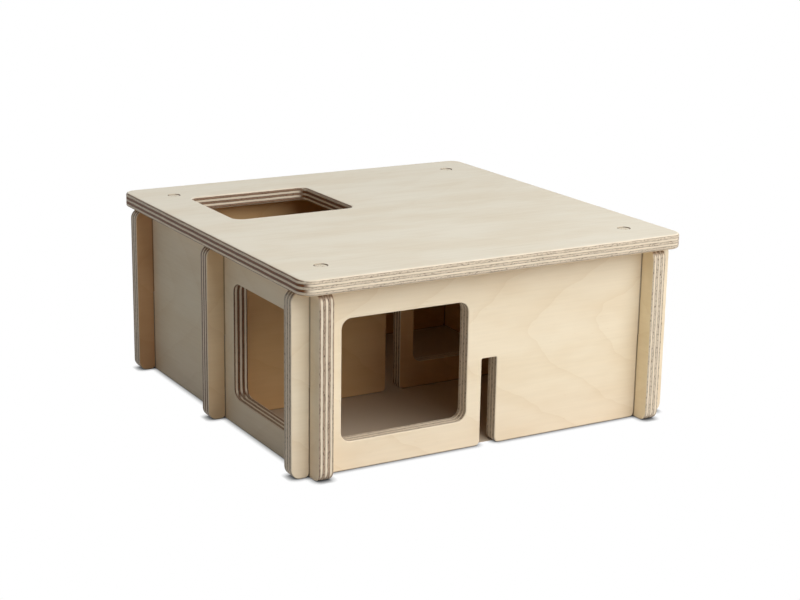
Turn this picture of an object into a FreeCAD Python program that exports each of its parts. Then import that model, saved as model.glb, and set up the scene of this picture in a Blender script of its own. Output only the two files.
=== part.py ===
import FreeCAD, Part
import os
from collections import namedtuple
import Sketcher

# Wooden hamster house, put together dry from birch plywood panels.
#
# Three walls run from left to right and two from front to back. They cross in halving joints:
# the first three are slotted from below, the other two from above, and every wall runs on past
# the ones that it crosses as a short stub. The roof is one panel that only rests on the walls.
# Four dowels let into it reach down into the corners of the house and keep it in place.
#
# The frame: +X to the right along the front wall, +Y to the back, +Z up, and the origin on the
# ground below the middle of the house. Lengths are in millimetres.

doc = FreeCAD.newDocument("HamsterHouse")

# Driving sizes

SIZES = (
    ("wall_length", 250, "front, middle and back wall from end to end"),
    ("side_length", 250, "left and right wall from end to end"),
    ("wall_height", 105, "height of every wall"),
    ("wall_ply", 9, "thickness of the walls"),
    ("roof_ply", 9, "thickness of the roof"),
    ("stub_length", 11, "how far a wall runs on past the one it crosses"),
    ("joint_height", 51.5, "height at which the slots of two crossing walls meet"),
    ("slot_side_gap", 0.15, "room between a slot's side and the wall in it"),
    ("spare_side_gap", 0.6, "the same room in the spare slots, which are empty"),
    ("slot_end_gap", 0.25, "room between a slot's end and that height"),
    ("window_length", 80, "opening in the front and middle wall"),
    ("side_window_length", 75, "opening in the left wall"),
    ("window_height", 70, "height of those openings"),
    ("sill_height", 16.5, "wall left below them"),
    ("roof_opening_length", 80, "opening in the roof, left to right"),
    ("roof_opening_depth", 70, "opening in the roof, front to back"),
    ("roof_overhang", 2.5, "how far the roof stands over the side walls' ends, front and back"),
    ("panel_corner", 6, "rounding of a wall's four corners"),
    ("roof_corner", 8, "rounding of the roof's four corners"),
    ("opening_corner", 6, "rounding of the corners of every opening"),
    ("slot_mouth_corner", 3, "rounding at the open end of a slot"),
    ("slot_end_corner", 1, "rounding at the closed end of a slot"),
    ("wall_arris", 0.6, "rounding along every edge of a wall"),
    ("roof_arris", 1.5, "rounding along every edge of the roof"),
    ("peg_diameter", 8, "dowel let into the roof"),
    ("peg_drop", 10, "how far a dowel reaches below the roof"),
    ("peg_recess", 0.4, "how far a dowel's top lies below the top of the roof"),
    ("peg_gap", 0.3, "room between a dowel and the walls beside it"),
    ("peg_glue_gap", 0.05, "room for glue between a dowel and its hole"),
    ("peg_chamfer", 1, "chamfer at a dowel's lower end"),
)

sheet = doc.addObject("Spreadsheet::Sheet", "Sizes")
for row, (alias, value, meaning) in enumerate(SIZES, start=1):
    sheet.set(f"A{row}", meaning)
    sheet.set(f"B{row}", str(value))
    sheet.setAlias(f"B{row}", alias)
doc.recompute()


def size(expression):
    """The present value of an expression of sheet sizes, in millimetres."""
    return float(sheet.evalExpression(expression))


# Places that several pieces share, each as an expression of sheet sizes

SIDE_WALL = "(Sizes.wall_length / 2 - Sizes.stub_length - Sizes.wall_ply / 2)"
CROSS_WALL = "(Sizes.side_length / 2 - Sizes.stub_length - Sizes.wall_ply / 2)"
SLOT_WIDTH = "(Sizes.wall_ply + 2 * Sizes.slot_side_gap)"
SPARE_SLOT_WIDTH = "(Sizes.wall_ply + 2 * Sizes.spare_side_gap)"
SLOT_TOP = "(Sizes.joint_height + Sizes.slot_end_gap)"
SLOT_FLOOR = "(Sizes.joint_height - Sizes.slot_end_gap)"
PEG_INSET = "(Sizes.wall_ply / 2 + Sizes.peg_gap + Sizes.peg_diameter / 2)"
PEG_HOLE = "(Sizes.peg_diameter / 2 + Sizes.peg_glue_gap)"


# Building blocks

NEAR = 1e-4  # how close two points are that count as one

def new_body(name):
    body = doc.addObject("PartDesign::Body", name)
    body.Label = name
    return body


def new_sketch(body, name, plane):
    """A sketch on one of the body's own origin planes."""
    sketch = body.newObject("Sketcher::SketchObject", body.Name + "_" + name)
    origin_plane = next(item for item in body.Origin.OriginFeatures if item.Role == plane)
    sketch.AttachmentSupport = [(origin_plane, "")]
    sketch.MapMode = "FlatFace"
    return sketch


def dimension(sketch, kind, first, second, expression):
    """Ties the distance between two points of a sketch to an expression."""
    index = sketch.addConstraint(Sketcher.Constraint(kind, *first, *second, size(expression)))
    sketch.setExpression(f"Constraints[{index}]", expression)


def draw_rectangle(sketch, left, bottom, width, height):
    """A rectangle whose lower left corner and size are expressions."""
    corner = FreeCAD.Vector(size(left), size(bottom), 0)
    across = FreeCAD.Vector(size(width), 0, 0)
    upward = FreeCAD.Vector(0, size(height), 0)
    points = [corner, corner + across, corner + across + upward, corner + upward]
    first = sketch.GeometryCount
    for index, start in enumerate(points):
        sketch.addGeometry(Part.LineSegment(start, points[(index + 1) % 4]), False)
    for index in range(4):
        sketch.addConstraint(Sketcher.Constraint("Coincident", first + index, 2, first + (index + 1) % 4, 1))
    sketch.addConstraint(Sketcher.Constraint("Horizontal", first))
    sketch.addConstraint(Sketcher.Constraint("Horizontal", first + 2))
    sketch.addConstraint(Sketcher.Constraint("Vertical", first + 1))
    sketch.addConstraint(Sketcher.Constraint("Vertical", first + 3))
    origin = (-1, 1)
    dimension(sketch, "DistanceX", origin, (first, 1), left)
    dimension(sketch, "DistanceY", origin, (first, 1), bottom)
    dimension(sketch, "DistanceX", (first, 1), (first, 2), width)
    dimension(sketch, "DistanceY", (first + 1, 1), (first + 1, 2), height)


def draw_circle(sketch, across, upward, radius):
    """A circle whose centre and radius are expressions."""
    centre = FreeCAD.Vector(size(across), size(upward), 0)
    index = sketch.addGeometry(Part.Circle(centre, FreeCAD.Vector(0, 0, 1), size(radius)), False)
    dimension(sketch, "DistanceX", (-1, 1), (index, 3), across)
    dimension(sketch, "DistanceY", (-1, 1), (index, 3), upward)
    rim = sketch.addConstraint(Sketcher.Constraint("Radius", index, size(radius)))
    sketch.setExpression(f"Constraints[{rim}]", radius)


def pad(body, sketch, length, both_ways):
    """Thickens a sketch into a board, to both sides of it or to its upper side."""
    feature = body.newObject("PartDesign::Pad", sketch.Name + "_pad")
    feature.Profile = sketch
    feature.Midplane = both_ways
    feature.setExpression("Length", length)
    doc.recompute()
    return feature


def cut_through(body, sketch):
    """Cuts a sketch right through the board, to both sides of the sketch."""
    before = body.Shape.Volume
    feature = body.newObject("PartDesign::Pocket", sketch.Name + "_cut")
    feature.Profile = sketch
    feature.Type = "ThroughAll"
    feature.Midplane = True
    doc.recompute()
    if not body.Shape.Volume < before:
        raise RuntimeError(f"{feature.Name} cuts nothing")
    return feature


def edges_through(feature, corners, flat):
    """Names of the edges that cross the board at the given corners.

    flat maps a point of the board to its two coordinates in the board's plane.
    """
    names = []
    for number, edge in enumerate(feature.Shape.Edges, start=1):
        ends = [flat(vertex.Point) for vertex in edge.Vertexes]
        for across, upward in corners:
            if len(ends) == 2 and all(abs(u - across) < NEAR and abs(w - upward) < NEAR for u, w in ends):
                names.append(f"Edge{number}")
    if len(names) != len(corners):
        raise RuntimeError(f"{feature.Name}: {len(names)} of {len(corners)} corners found")
    return names


def edges_on_faces(feature, off_plane, levels):
    """Names of the edges that lie in the board's two broad faces.

    off_plane gives a point's height over the sketch plane, and levels are the faces' heights.
    """
    names = []
    for number, edge in enumerate(feature.Shape.Edges, start=1):
        middle = edge.valueAt((edge.FirstParameter + edge.LastParameter) / 2)
        heights = [off_plane(point) for point in [middle] + [vertex.Point for vertex in edge.Vertexes]]
        if any(all(abs(height - level) < NEAR for height in heights) for level in levels):
            names.append(f"Edge{number}")
    return names


def round_edges(body, base, names, radius, label):
    """Rounds the named edges by an expression of sheet sizes."""
    feature = body.newObject("PartDesign::Fillet", f"{body.Name}_{label}")
    feature.Base = (base, names)
    feature.setExpression("Radius", radius)
    doc.recompute()
    return feature


def opening_corners(left, bottom, width, height):
    """The four corners of a rectangular opening, in millimetres."""
    low = (size(left), size(bottom))
    high = (low[0] + size(width), low[1] + size(height))
    return [(across, upward) for across in (low[0], high[0]) for upward in (low[1], high[1])]


# Walls

# What differs between walls that run left to right and walls that run front to back
Direction = namedtuple("Direction", "plane length crossing slot_low slot_high mouth middle_slot")

# Walls from left to right: slots from the ground up, one for each side wall and a spare one
LEFT_TO_RIGHT = Direction("XZ_Plane", "Sizes.wall_length", SIDE_WALL, "0", SLOT_TOP, "0",
                          SPARE_SLOT_WIDTH)

# Walls from front to back: slots from the top down, one for each wall that crosses
FRONT_TO_BACK = Direction("YZ_Plane", "Sizes.side_length", CROSS_WALL, SLOT_FLOOR, "Sizes.wall_height",
                          "Sizes.wall_height", SLOT_WIDTH)


def make_wall(name, direction, window_length=None):
    """One wall, upright through the origin, with its window in the half with negative places.

    The window sits in the middle of the bay between two crossing walls.
    """
    along = 0 if direction.plane == "XZ_Plane" else 1

    def flat(point):
        return point[along], point.z

    def off_plane(point):
        return point[1 - along]

    body = new_body(name)
    outline = new_sketch(body, "outline", direction.plane)
    board = (f"-{direction.length} / 2", "0", direction.length, "Sizes.wall_height")
    draw_rectangle(outline, *board)
    pad(body, outline, "Sizes.wall_ply", both_ways=True)

    slots = new_sketch(body, "slots", direction.plane)
    slot_height = f"({direction.slot_high} - {direction.slot_low})"
    slot_boxes = []
    for place, width in ((f"-{direction.crossing}", SLOT_WIDTH), ("0", direction.middle_slot),
                         (direction.crossing, SLOT_WIDTH)):
        slot_boxes.append((f"({place} - {width} / 2)", direction.slot_low, width, slot_height))
    for box in slot_boxes:
        draw_rectangle(slots, *box)
    feature = cut_through(body, slots)

    window = None
    if window_length:
        window = (f"(-{direction.crossing} / 2 - {window_length} / 2)", "Sizes.sill_height", window_length,
                  "Sizes.window_height")
        hole = new_sketch(body, "window", direction.plane)
        draw_rectangle(hole, *window)
        feature = cut_through(body, hole)

    mouth = size(direction.mouth)
    slot_points = [point for box in slot_boxes for point in opening_corners(*box)]
    mouths = [point for point in slot_points if abs(point[1] - mouth) < NEAR]
    ends = [point for point in slot_points if abs(point[1] - mouth) >= NEAR]
    groups = [("corners", opening_corners(*board), "Sizes.panel_corner"),
              ("slot_mouths", mouths, "Sizes.slot_mouth_corner"),
              ("slot_ends", ends, "Sizes.slot_end_corner")]
    if window:
        groups.append(("window_corners", opening_corners(*window), "Sizes.opening_corner"))
    for label, points, radius in groups:
        feature = round_edges(body, feature, edges_through(feature, points, flat), radius, label)

    half = size("Sizes.wall_ply / 2")
    round_edges(body, feature, edges_on_faces(feature, off_plane, (-half, half)), "Sizes.wall_arris", "arris")
    return body


def place(body, axis, expression, turned=False):
    """Moves a body along one axis, after a half turn about the vertical where it is turned round."""
    turn = FreeCAD.Rotation(FreeCAD.Vector(0, 0, 1), 180 if turned else 0)
    body.Placement = FreeCAD.Placement(FreeCAD.Vector(0, 0, 0), turn)
    body.setExpression(f"Placement.Base.{axis}", expression)


# Front wall: window and entrance on the left, spare slot in the middle
front_wall = make_wall("front_wall", LEFT_TO_RIGHT, "Sizes.window_length")
place(front_wall, "y", f"-{CROSS_WALL}")

# Middle wall: the front wall's panel, turned half round, so that its doorway is on the right
middle_wall = make_wall("middle_wall", LEFT_TO_RIGHT, "Sizes.window_length")
place(middle_wall, "y", "0", turned=True)

# Back wall: no window
back_wall = make_wall("back_wall", LEFT_TO_RIGHT)
place(back_wall, "y", CROSS_WALL)

# Left wall: window in the near bay, and the far bay closed
left_wall = make_wall("left_wall", FRONT_TO_BACK, "Sizes.side_window_length")
place(left_wall, "x", f"-{SIDE_WALL}")

# Right wall: closed
right_wall = make_wall("right_wall", FRONT_TO_BACK)
place(right_wall, "x", SIDE_WALL)

# Roof: a loose panel on top of the walls, with an opening over the middle of the back left room

roof = new_body("roof")
roof_outline = new_sketch(roof, "outline", "XY_Plane")
ROOF_DEPTH = "(Sizes.side_length + 2 * Sizes.roof_overhang)"
roof_board = ("-Sizes.wall_length / 2", f"-{ROOF_DEPTH} / 2", "Sizes.wall_length", ROOF_DEPTH)
draw_rectangle(roof_outline, *roof_board)
pad(roof, roof_outline, "Sizes.roof_ply", both_ways=False)

hatch = (f"(-{SIDE_WALL} / 2 - Sizes.roof_opening_length / 2)",
         f"({CROSS_WALL} / 2 - Sizes.roof_opening_depth / 2)",
         "Sizes.roof_opening_length", "Sizes.roof_opening_depth")
roof_opening = new_sketch(roof, "opening", "XY_Plane")
draw_rectangle(roof_opening, *hatch)
feature = cut_through(roof, roof_opening)


def on_roof(point):
    return point.x, point.y


for label, box, radius in (("corners", roof_board, "Sizes.roof_corner"),
                           ("opening_corners", hatch, "Sizes.opening_corner")):
    names = edges_through(feature, opening_corners(*box), on_roof)
    feature = round_edges(roof, feature, names, radius, label)
names = edges_on_faces(feature, lambda point: point.z, (0, size("Sizes.roof_ply")))
round_edges(roof, feature, names, "Sizes.roof_arris", "arris")

# Pegs: dowels glued into holes in the roof, one in each inner corner of the house

PEG_ACROSS = f"({SIDE_WALL} - {PEG_INSET})"
PEG_ALONG = f"({CROSS_WALL} - {PEG_INSET})"
PEG_PLACES = (
    ("front_left_peg", f"-{PEG_ACROSS}", f"-{PEG_ALONG}"),
    ("front_right_peg", PEG_ACROSS, f"-{PEG_ALONG}"),
    ("back_left_peg", f"-{PEG_ACROSS}", PEG_ALONG),
    ("back_right_peg", PEG_ACROSS, PEG_ALONG),
)

peg_holes = new_sketch(roof, "peg_holes", "XY_Plane")
for name, across, along in PEG_PLACES:
    draw_circle(peg_holes, across, along, PEG_HOLE)
cut_through(roof, peg_holes)
place(roof, "z", "Sizes.wall_height")

pegs = []
for name, across, along in PEG_PLACES:
    peg = new_body(name)
    section = new_sketch(peg, "section", "XY_Plane")
    draw_circle(section, "0", "0", "Sizes.peg_diameter / 2")
    dowel = pad(peg, section, "Sizes.peg_drop + Sizes.roof_ply - Sizes.peg_recess", both_ways=False)
    tip = peg.newObject("PartDesign::Chamfer", name + "_chamfer")
    tip.Base = (dowel, edges_on_faces(dowel, lambda point: point.z, (0,)))
    tip.setExpression("Size", "Sizes.peg_chamfer")
    place(peg, "x", across)
    peg.setExpression("Placement.Base.y", along)
    peg.setExpression("Placement.Base.z", "Sizes.wall_height - Sizes.peg_drop")
    pegs.append(peg)

doc.recompute()

# Checks and files

for item in doc.Objects:
    if "Invalid" in item.State or "Error" in item.State:
        raise RuntimeError(f"{item.Name} failed: {item.State}")

pieces = [front_wall, middle_wall, back_wall, left_wall, right_wall, roof] + pegs
os.makedirs("parts", exist_ok=True)
for piece in pieces:
    shape = piece.Shape
    if shape.isNull() or not shape.isValid() or len(shape.Solids) != 1:
        raise RuntimeError(f"{piece.Label} is not one valid solid")
for piece in pieces:
    piece.Shape.exportStep(f"parts/{piece.Label}.step")
    box = piece.Shape.optimalBoundingBox(False)
    print(f"{piece.Label}: {piece.Shape.Volume:.0f} mm3, x {box.XMin:.2f} to {box.XMax:.2f}, "
          f"y {box.YMin:.2f} to {box.YMax:.2f}, z {box.ZMin:.2f} to {box.ZMax:.2f}")
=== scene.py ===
import math

import bpy
from mathutils import Matrix, Vector


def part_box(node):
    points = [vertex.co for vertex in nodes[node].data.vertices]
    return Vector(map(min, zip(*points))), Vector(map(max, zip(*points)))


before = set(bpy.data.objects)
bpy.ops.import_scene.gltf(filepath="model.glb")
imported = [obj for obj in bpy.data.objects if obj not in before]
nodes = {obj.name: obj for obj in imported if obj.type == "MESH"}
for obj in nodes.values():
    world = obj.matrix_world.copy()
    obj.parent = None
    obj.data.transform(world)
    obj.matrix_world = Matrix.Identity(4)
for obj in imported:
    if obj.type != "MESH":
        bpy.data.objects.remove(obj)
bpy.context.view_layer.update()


# Front, middle and back walls: three like panels of 9 mm birch plywood, cut with the grain level.
# Their ends are slotted from below and drop over the side walls, so nothing is glued. Each face is
# sanded and left bare, and every edge shows the seven plies, with a softened arris.

X, Y, Z = range(3)
MM = 1000                        # millimetres in a metre; the sizes of this section are in millimetres

FACE_PLY = 0.85                  # the two outer veneers, sanded thin
INNER_PLY = 1.46                 # each of the five inner plies
MIDDLE_PLY = (4, 5)              # depth where the colour of the low face gives way to the high face's
PLY_WANDER = 0.4                 # how far the plies stray along an edge
GLUE_LINE = 0.2                  # from the middle of a glue line to where it ends
GLUE_CORE = 0.06                 # from the middle of a glue line to where it starts to fade
OUTER_EDGE = (3, 6)              # how far in from the panel's outline its openings start
JOINTS = 109.5                   # from the middle of a panel to the middle of each one that crosses it
JOINT_SHADOW = (4.7, 5.3)        # from the middle of a joint to where the painted shadow line beside it ends
STUB_TURN = 2                    # width of the change from the wall's colour to its stub's
SOLE_SHADOW = (0.3, 0.9)                # height of the painted shadow line where a wall stands on the floor
SHADED_FOOT_HEIGHT = 40                 # height up to which a wall is painted darker towards the floor, as painted shade
SHEET_SHIFT = 300                # from one panel's place in the endless sheet of wood to the next

# Sizes of the blotches of wood noise along the grain, across it and through the plies.
EDGE_WAVES = (14, 14, 30)
GLUE_BREAKS = (3, 3, 0.9)
PORES = (1.6, 1.6, 0.42)
THREADS = (14, 14, 0.28)
FIBRES = (45, 1.7, 1.7)
MOTTLES = (75, 26, 30)
CLOUDS = (60, 4.5, 30)
FLECKS = (5, 0.9, 4)
FIGURE_WAVES = (70, 30, 200)

# The figure: rings cut through at a low angle, which show as pointed arches one inside the other.
FIGURE_AXIS = 10                 # height of the arches' points above the middle of the panel
FIGURE_TIP = 20                  # roundness of the points
FIGURE_SLOPE = 1.5               # how fast an arch falls back along the grain
FIGURE_SWAY = 40                 # how far its line sways
FIGURE_STEP = 50                 # from one arch to the next
FIGURE_START = 34                # place of the first one
FIGURE_SHARPNESS = 7             # how thin its line is

# Colours on a screen, from 0 to 255, and the tints over them: of thin layers, and of painted shade at a
# wall's foot.
BARE_BIRCH = (238, 223, 196)
# Painted shade: faces inside the house take a darker, warmer birch than the outside faces, standing in
# for the shade indoors.
INDOOR_SHADE_BIRCH = (222, 184, 132)
# Painted shade: the outer faces of the cross walls' stubs are darker than bare birch, lightly on the
# middle wall's and deeply on the back wall's in the far corner.
SHADED_STUB_BIRCH = (230, 204, 166)
SHADY_BIRCH = (202, 160, 118)
EDGE_LIGHT = (230, 215, 191)
EDGE_DARK = (110, 63, 23)
# Brown of the real glue lines, also used for the painted shadow lines at a wall's foot and beside its
# joints.
GLUE_AND_SHADOW_BROWN = (88, 56, 30)
PORE_BROWN = (54, 34, 18)
MOTTLE_TINT = (0.95, 0.92, 0.88, 1)
CLOUD_TINT = (0.95, 0.94, 0.92, 1)
RING_TINT = (0.88, 0.82, 0.74, 1)
FOOT_SHADE_TINT = (0.95, 0.92, 0.91, 1)

EDGE_TURN = (0.35, 0.8)          # part of the normal at which a softened arris turns into an edge
END_PORES = 0.7                  # how strongly pores show in the edges across the grain
SIDE_PORES = 0.45                # and in the edges along it
GLUE_SHOWS = 0.8                 # strengths of the other marks and of the painted shadow lines
CLOUD_SHOWS = 0.6
FLECK_SHOWS = 0.5
SOLE_SHADOW_SHOWS = 0.6
SEAM_SHADOW_SHOWS = 0.5

SHINE = 0.3                      # bare wood is dull: this is its Specular IOR Level
ROUGHNESS = (0.6, 0.52)          # of the soft and the hard fibres
RELIEF = 0.0002                  # metres: the height of the threads on an edge
FIBRE_HEIGHT = 0.15              # height of a face's fibres beside them


def colour(rgb):
    """A colour given as 0 to 255 on a screen, as the linear colour that a shader takes."""
    parts = [part / 255 for part in rgb]
    linear = [part / 12.92 if part < 0.04045 else ((part + 0.055) / 1.055) ** 2.4 for part in parts]
    return (*linear, 1)


class Value:
    """A number that varies over a surface. Arithmetic on it adds the material's Math nodes."""

    def __init__(self, finish, socket):
        self.finish = finish
        self.socket = socket

    def math(self, operation, *terms):
        return self.finish.node("ShaderNodeMath", {"operation": operation}, dict(enumerate(terms)))

    def __add__(self, other):
        return self.math("ADD", self, other)

    __radd__ = __add__

    def __sub__(self, other):
        return self.math("SUBTRACT", self, other)

    def __rsub__(self, other):
        return self.math("SUBTRACT", other, self)

    def __mul__(self, other):
        return self.math("MULTIPLY", self, other)

    __rmul__ = __mul__

    def __truediv__(self, other):
        return self.math("DIVIDE", self, other)

    def __rtruediv__(self, other):
        return self.math("DIVIDE", other, self)

    def __mod__(self, other):
        return self.math("FLOORED_MODULO", self, other)

    def __rmod__(self, other):
        return self.math("FLOORED_MODULO", other, self)

    def __pow__(self, other):
        return self.math("POWER", self, other)

    def __rpow__(self, other):
        return self.math("POWER", other, self)

    def __abs__(self):
        return self.math("ABSOLUTE", self)

    def floor(self):
        return self.math("FLOOR", self)

    def smaller(self, other):
        return self.math("MINIMUM", self, other)

    def larger(self, other):
        return self.math("MAXIMUM", self, other)

    def above(self, limit):
        return self.math("GREATER_THAN", self, limit)


class Finish:
    """One material, or the surroundings, built node by node."""

    def __init__(self, made, output="ShaderNodeOutputMaterial"):
        self.made = made
        made.use_nodes = True
        self.tree = made.node_tree
        self.tree.nodes.clear()
        self.output = self.tree.nodes.new(output)

    def node(self, kind, settings=None, inputs=None, output=0):
        """Adds a node, with its settings first and then its sockets' values or links."""
        made = self.tree.nodes.new(kind)
        for name, setting in (settings or {}).items():
            setattr(made, name, setting)
        for name, value in (inputs or {}).items():
            if isinstance(value, Value):
                self.tree.links.new(value.socket, made.inputs[name])
            else:
                made.inputs[name].default_value = value
        return Value(self, made.outputs[output])

    def parts(self, coordinate):
        """The x, y and z of one of the surface's coordinates."""
        whole = self.node("ShaderNodeTexCoord", None, None, coordinate)
        return [self.node("ShaderNodeSeparateXYZ", None, {0: whole}, axis) for axis in (X, Y, Z)]

    def mix(self, amount, first, second, blend="MIX"):
        settings = {"data_type": "RGBA", "blend_type": blend, "clamp_factor": True}
        return self.node("ShaderNodeMix", settings, {0: amount, 6: first, 7: second}, 2)

    def tint(self, amount, base, filter_colour):
        """The base seen through a thin layer of another colour, or under painted shade of that colour.
        """
        return self.mix(amount, base, filter_colour, "MULTIPLY")

    def shade(self, base, brightness):
        """The base made darker or lighter by a number that varies."""
        return self.mix(1.0, base, self.vector(brightness, brightness, brightness), "MULTIPLY")

    def ramp(self, value, low, high, at_low=0.0, at_high=1.0):
        """Smooth change of a value from at_low, where it is low, to at_high."""
        span = {"From Min": low, "From Max": high, "To Min": at_low, "To Max": at_high}
        settings = {"interpolation_type": "SMOOTHSTEP"}
        return self.node("ShaderNodeMapRange", settings, {"Value": value, **span})

    def vector(self, x, y, z):
        return self.node("ShaderNodeCombineXYZ", None, {0: x, 1: y, 2: z})

    def noise(self, place, sizes, detail=2.0, roughness=0.5):
        """Noise from 0 to 1 whose blotches have these sizes along the three parts of place."""
        scaled = self.vector(*[part / size for part, size in zip(place, sizes)])
        look = {"Vector": scaled, "Scale": 1.0, "Detail": detail, "Roughness": roughness}
        return self.node("ShaderNodeTexNoise", None, look)

    def bump(self, strength, height):
        look = {"Strength": strength, "Distance": RELIEF, "Height": height}
        return self.node("ShaderNodeBump", None, look)

    def wood(self, tint, roughness, bump):
        """Ends the material as bare wood."""
        look = {"Base Color": tint, "Roughness": roughness, "Normal": bump}
        self.show(self.node("ShaderNodeBsdfPrincipled", None, {**look, "Specular IOR Level": SHINE}))

    def show(self, shader):
        self.tree.links.new(shader.socket, self.output.inputs["Surface"])


def sawn_edge(finish, here, opening, end_facing, side_facing, ends, sides):
    """The colour of a panel's edges, and their height. here is the place along the grain, across it
    and through the plies, and opening is 1 on the edges of openings and 0 on outer ones."""
    wander = finish.noise(here, EDGE_WAVES) - 0.5
    ply = (here[2] + wander * PLY_WANDER + INNER_PLY - FACE_PLY) / INNER_PLY
    index = ply.floor()
    odd = index % 2
    within = abs(ply - index - 0.5)
    glue = finish.ramp(within, 0.5 - GLUE_LINE / INNER_PLY, 0.5 - GLUE_CORE / INNER_PLY)

    odd_ends, outer_ends, inner_ends = ends
    odd_sides, outer_sides, inner_sides = sides
    cross_ends = end_facing * (odd if odd_ends else 1 - odd)
    cross_sides = side_facing * (odd if odd_sides else 1 - odd)
    ends_dark = opening * (inner_ends - outer_ends) + outer_ends
    sides_dark = opening * (inner_sides - outer_sides) + outer_sides
    # The odd plies' darkness: the end grain's own, deeper on shaded edges and lighter on lit ones as
    # painted shade.
    dark = cross_ends * ends_dark + cross_sides * sides_dark

    broken = finish.ramp(finish.noise(here, GLUE_BREAKS), 0.35, 0.6, 0.45, 1)
    pores = finish.ramp(finish.noise(here, PORES, 1), 0.56, 0.64)
    threads = finish.ramp(finish.noise(here, THREADS), 0.35, 0.65, 0.86, 1.06)
    open_pores = pores * (cross_ends * END_PORES + cross_sides * SIDE_PORES)
    edge = finish.shade(finish.mix(dark, colour(EDGE_LIGHT), colour(EDGE_DARK)), threads)
    edge = finish.mix(glue * broken * GLUE_SHOWS, edge, colour(GLUE_AND_SHADOW_BROWN))
    edge = finish.mix(open_pores, edge, colour(PORE_BROWN))
    return edge, threads - glue * 0.5


def sanded_face(finish, here, plain, fibre, rings):
    """The colour of a panel's faces: their plain colour with the grain and the figure on it."""
    grain, across = here[:2]
    mottle = finish.noise(here, MOTTLES, 3, 0.6)
    cloud = finish.noise(here, CLOUDS, 2, 0.6)
    fleck = finish.noise(here, FLECKS, 1)
    off_axis = across - FIGURE_AXIS
    arch = (off_axis * off_axis + FIGURE_TIP) ** 0.5
    sway = (finish.noise(here, FIGURE_WAVES, 3) - 0.5) * FIGURE_SWAY
    ring = ((grain - arch * FIGURE_SLOPE + sway + FIGURE_START) / FIGURE_STEP) % 1
    veneer = finish.tint(finish.ramp(mottle, 0.35, 0.7), plain, MOTTLE_TINT)
    veneer = finish.tint(finish.ramp(cloud, 0.58, 0.8) * CLOUD_SHOWS, veneer, CLOUD_TINT)
    veneer = finish.tint(ring ** FIGURE_SHARPNESS * rings, veneer, RING_TINT)
    veneer = finish.tint(finish.ramp(fleck, 0.73, 0.8) * FLECK_SHOWS, veneer, RING_TINT)
    return finish.shade(veneer, finish.ramp(fibre, 0.35, 0.65, 0.988, 1.008))


def plywood(name, grain_axis, across_axis, depth_axis, seed, ends, sides, faces, rings, seams=(),
            stubs=BARE_BIRCH):
    """The finish of one panel. ends and sides say, for the edges across and along the grain, whether
    the odd plies are the dark ones, and how dark they are on outer edges and in openings: the end
    grain's own darkness, set deeper on edges that lie in shade and lighter on lit ones as painted
    shade. faces are the colours of the low and the high face, with faces inside the house darkened
    as painted shade, rings is the strength of the figure, seams are the places along the grain where
    another panel crosses this one, beside which a shadow line is painted, and stubs is the colour of
    the low face past the outermost, painted as shade or light."""
    low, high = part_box(name)
    middle = (low + high) / 2
    half = (high - low) / 2 * MM
    finish = Finish(bpy.data.materials.new(name + "_birch_plywood"))
    place = finish.parts("Object")
    facing = finish.parts("Normal")
    along = (place[grain_axis] - middle[grain_axis]) * MM
    across = (place[across_axis] - middle[across_axis]) * MM
    depth = (place[depth_axis] - low[depth_axis]) * MM
    here = (along + SHEET_SHIFT * seed, across, depth)
    end_facing = finish.ramp(abs(facing[grain_axis]), *EDGE_TURN)
    side_facing = finish.ramp(abs(facing[across_axis]), *EDGE_TURN)
    edge_facing = end_facing.larger(side_facing)
    inset = (half[grain_axis] - abs(along)).smaller(half[across_axis] - abs(across))
    opening = finish.ramp(inset, *OUTER_EDGE)
    edge, edge_height = sawn_edge(finish, here, opening, end_facing, side_facing, ends, sides)

    fibre = finish.noise(here, FIBRES, 3)
    high_side = finish.ramp(depth, *MIDDLE_PLY)
    plain = finish.mix(high_side, colour(faces[0]), colour(faces[1]))
    if seams:
        stub = finish.mix(high_side, colour(stubs), colour(BARE_BIRCH))
        plain = finish.mix(finish.ramp(abs(along), JOINTS, JOINTS + STUB_TURN), plain, stub)
    veneer = sanded_face(finish, here, plain, fibre, rings)

    # Painted shade: each wall is tinted darker and warmer towards the floor.
    if across_axis == Z:
        painted_foot_shade = finish.ramp(across, -half[Z], SHADED_FOOT_HEIGHT - half[Z], 1, 0)
        veneer = finish.tint(painted_foot_shade, veneer, FOOT_SHADE_TINT)
    painted = finish.mix(edge_facing, veneer, edge)
    # Painted shadow: a thin dark line along the bottom where each wall stands on the floor.
    if across_axis == Z:
        painted_sole_shadow = finish.ramp(across, SOLE_SHADOW[0] - half[Z], SOLE_SHADOW[1] - half[Z], SOLE_SHADOW_SHOWS, 0)
        painted = finish.mix(painted_sole_shadow, painted, colour(GLUE_AND_SHADOW_BROWN))
    # Painted shadow: a dark line on each face beside a panel that crosses it.
    for seam in seams:
        painted_seam_shadow = finish.ramp(abs(abs(along) - seam), *JOINT_SHADOW, SEAM_SHADOW_SHOWS, 0)
        painted = finish.mix(painted_seam_shadow * (1 - side_facing), painted, colour(GLUE_AND_SHADOW_BROWN))

    bump = finish.bump(0.2, fibre * FIBRE_HEIGHT + edge_facing * edge_height)
    finish.wood(painted, finish.ramp(fibre, 0.3, 0.7, *ROUGHNESS), bump)
    nodes[name].material_slots[0].material = finish.made


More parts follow.
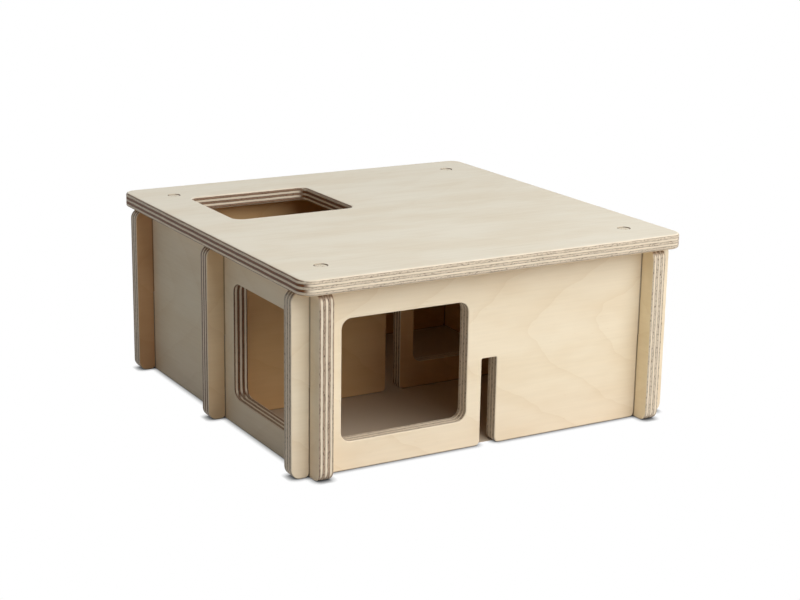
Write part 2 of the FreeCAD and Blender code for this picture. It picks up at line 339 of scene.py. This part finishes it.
# How dark the odd plies are on the ends and in the openings, partly end grain and partly painted shade,
# the low and high face, and the stubs, whose colours carry painted shade.
CROSS_WALLS = {
    "front_wall": (0.4, 0.3, (BARE_BIRCH, INDOOR_SHADE_BIRCH), BARE_BIRCH),
    "middle_wall": (0.85, 0.6, (INDOOR_SHADE_BIRCH, INDOOR_SHADE_BIRCH), SHADED_STUB_BIRCH),
    "back_wall": (0.6, 0.6, (INDOOR_SHADE_BIRCH, BARE_BIRCH), SHADY_BIRCH),
}
for seed, (wall, (outer, inner, faces, stubs)) in enumerate(CROSS_WALLS.items()):
    plywood(wall, X, Z, Y, seed, ends=(True, outer, inner), sides=(True, 0.3, 0.3), faces=faces,
            rings=0.35, seams=(JOINTS,), stubs=stubs)


# Left and right walls: the same plywood, slotted from above so that the three cross walls push down
# into them. They stand on the floor beside them and their front ends show in front of the front wall.

# Painted light: the inner face of the right wall's stubs is paler than bare birch, standing in for
# light thrown onto it by the front wall.
BOUNCE_LIT_BIRCH = (248, 232, 196)

plywood("left_wall", Y, Z, X, 5, ends=(False, 0.6, 0.95), sides=(True, 0.7, 0.7),
        faces=(BARE_BIRCH, INDOOR_SHADE_BIRCH), rings=0.25, seams=(0, JOINTS))
plywood("right_wall", Y, Z, X, 6, ends=(False, 0.25, 0.5), sides=(True, 0.7, 0.7),
        faces=(INDOOR_SHADE_BIRCH, BARE_BIRCH), rings=0.25, seams=(0, JOINTS), stubs=BOUNCE_LIT_BIRCH)


# Roof: one panel of the same plywood with a rounded opening over the back room. It lies loose on the
# five walls and lifts off, with the grain from left to right.

ROOF_BIRCH = (238, 229, 210)

plywood("roof", X, Y, Z, 9, ends=(False, 1, 1), sides=(True, 0.2, 0.8),
        faces=(INDOOR_SHADE_BIRCH, ROOF_BIRCH), rings=0.12)


# Pegs: four 8 mm birch dowels glued into the roof. Their end grain shows just below the roof's top,
# and their lower ends locate the roof inside the corners of the walls.

DOWEL_END = (236, 226, 206)
DOWEL_DARK = (196, 176, 146)
RIM_SHADOW_BROWN = (92, 74, 54)
END_PORE_SIZES = (0.5, 0.5, 20)  # mm: the pores run along the dowel
RIM_SHADOW_PATCHES = (2.5, 2.5, 20)     # mm: patches in the painted shadow
RIM = (0.8, 0.3)                 # mm in from the dowel's side: where its painted shadow rim starts and is full
RIGHT_RIM = (0.9, 0.4)           # mm: the same for the painted shadow on its right
LEFT_RIM = 1.4                   # mm: width of the change into the painted shadow on its left
LEAN = 0.55                      # how far the painted shadow on its left reaches towards the middle
END_DEPTH = (1, 0.4)             # mm below the top: where the painted shadow starts and is full


def dowel(name):
    low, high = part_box(name)
    middle = (low + high) / 2
    radius = (high[X] - low[X]) / 2 * MM
    half_length = (high[Z] - low[Z]) / 2 * MM
    finish = Finish(bpy.data.materials.new(name + "_birch_dowel"))
    place = finish.parts("Object")
    local = [(place[axis] - middle[axis]) * MM for axis in (X, Y, Z)]
    pores = finish.noise(local, END_PORE_SIZES, 3)
    tint = finish.mix(finish.ramp(pores, 0.4, 0.7), colour(DOWEL_END), colour(DOWEL_DARK))
    # Painted shadow of the hole's wall around the dowel's sunk end: a patchy dark rim, wider on the
    # left, with a spot on the right.
    reach = (local[X] * local[X] + local[Y] * local[Y]) ** 0.5
    patchy = finish.ramp(finish.noise(local, RIM_SHADOW_PATCHES), 0.4, 0.65, 0.3, 0.8)
    rim = finish.ramp(reach, radius - RIM[0], radius - RIM[1]) * patchy
    left = finish.ramp(reach - local[X] * LEAN, radius, radius + LEFT_RIM) * 0.85
    right = finish.ramp(local[X], radius - RIGHT_RIM[0], radius - RIGHT_RIM[1]) * 0.9
    end_up = finish.ramp(local[Z], half_length - END_DEPTH[0], half_length - END_DEPTH[1])
    tint = finish.mix(rim.larger(left.larger(right)) * end_up, tint, colour(RIM_SHADOW_BROWN))
    finish.wood(tint, 0.6, finish.bump(0.3, pores))
    nodes[name].material_slots[0].material = finish.made


for end in ("front", "back"):
    for side in ("left", "right"):
        dowel(f"{end}_{side}_peg")


# Floor and background: a plain white sheet under the house, with a painted contact shadow, made
# from ambient occlusion, where the house touches the ground, and pure white further out.

FLOOR_SIZE = 6.0                 # metres
FOOTPRINT = 0.110                # metres from the middle of the house to the middle of its walls
CONTACT_REACH = 0.004            # metres: how far the painted contact shadow reaches from a wall
CONTACT_DARK = 1.5
# Painted shade: under the house the sheet takes a darker, warmer colour than outside.
INDOOR_FLOOR_SHADE = (0.56, 0.46, 0.35, 1)
FLOOR_BOUNCE = 0.65              # how pale the sheet is for the light that it throws back
WHITE = (1, 1, 1, 1)
SEEN_RAYS = ("Is Camera Ray", "Is Glossy Ray", "Is Transmission Ray")


def seen(finish):
    """1 for what the camera sees, also in a reflection, and 0 for what only lights the house."""
    rays = [finish.node("ShaderNodeLightPath", None, None, ray) for ray in SEEN_RAYS]
    return rays[0].larger(rays[1].larger(rays[2]))


bpy.ops.mesh.primitive_plane_add(size=FLOOR_SIZE)
floor = bpy.context.object
floor.name = "floor"
sheet = Finish(bpy.data.materials.new("white_sheet"))
place = sheet.parts("Object")
outside = abs(place[X]).larger(abs(place[Y])).above(FOOTPRINT)
# Painted shadow: the white that the camera sees is darkened by ambient occlusion next to the walls.
open_sky = sheet.node("ShaderNodeAmbientOcclusion", {"samples": 16}, {"Distance": CONTACT_REACH}, 1)
lit = sheet.node("ShaderNodeEmission", None, {"Color": sheet.shade(WHITE, open_sky ** CONTACT_DARK)})
pale = sheet.mix(outside, INDOOR_FLOOR_SHADE, (FLOOR_BOUNCE, FLOOR_BOUNCE, FLOOR_BOUNCE, 1))
matt = sheet.node("ShaderNodeBsdfDiffuse", None, {"Color": pale})
sheet.show(sheet.node("ShaderNodeMixShader", None, {0: seen(sheet) * outside, 1: matt, 2: lit}))
floor.data.materials.append(sheet.made)

HORIZON = 0.11                   # brightness of the room's light from the sides
ZENITH = 0.24                    # and from straight above
ZENITH_TINT = (0.88, 0.96, 1.0)

world = bpy.data.worlds.new("studio")
bpy.context.scene.world = world
room = Finish(world, "ShaderNodeOutputWorld")
overhead = room.ramp(room.parts("Generated")[Z], 0.5, 1.0)
zenith = [ZENITH * part for part in ZENITH_TINT]
ambient = room.mix(overhead, (HORIZON, HORIZON, HORIZON, 1), (*zenith, 1))
backdrop = room.mix(seen(room), ambient, WHITE)
room.show(room.node("ShaderNodeBackground", None, {"Color": backdrop}))


# Lamps: a large soft box in front of the house, above it and a little to its right, and a weak
# low one behind it, which keeps the back from going dull.

LAMP_DISTANCE = 1.6              # metres
LAMPS = {                        # degrees to the right of the front, degrees up, metres across, watts
    "key": (22, 44, 1.8, 32.0),
    "back_fill": (180, 6, 0.8, 4.0),
}

for lamp_name, (bearing, height, side, power) in LAMPS.items():
    lamp_data = bpy.data.lights.new(lamp_name, "AREA")
    lamp_data.shape = "SQUARE"
    lamp_data.size = side
    lamp_data.energy = power
    lamp = bpy.data.objects.new(lamp_name, lamp_data)
    bpy.context.scene.collection.objects.link(lamp)
    turn = math.radians(bearing)
    rise = math.radians(height)
    level = math.cos(rise)
    towards = Vector((math.sin(turn) * level, -math.cos(turn) * level, math.sin(rise)))
    lamp.location = towards * LAMP_DISTANCE
    lamp.rotation_euler = towards.to_track_quat("Z", "Y").to_euler()


# Camera: in front of the front left corner and a little above the roof, as the photograph was taken.

CAMERA_PLACE = (-0.51146, -0.89258, 0.33957)
CAMERA_BEARING = math.radians(-30.155)
CAMERA_HEIGHT = math.radians(15.32)
CAMERA_ROLL = math.radians(0.93)
CAMERA_LENS = 77.408

camera_data = bpy.data.cameras.new("camera")
camera_data.lens = CAMERA_LENS
camera = bpy.data.objects.new("camera", camera_data)
bpy.context.scene.collection.objects.link(camera)
camera.matrix_world = (
    Matrix.Translation(CAMERA_PLACE)
    @ Matrix.Rotation(CAMERA_BEARING, 4, "Z")
    @ Matrix.Rotation(math.pi / 2 - CAMERA_HEIGHT, 4, "X")
    @ Matrix.Rotation(CAMERA_ROLL, 4, "Z")
)
bpy.context.scene.camera = camera
bpy.context.scene.view_settings.view_transform = "Standard"
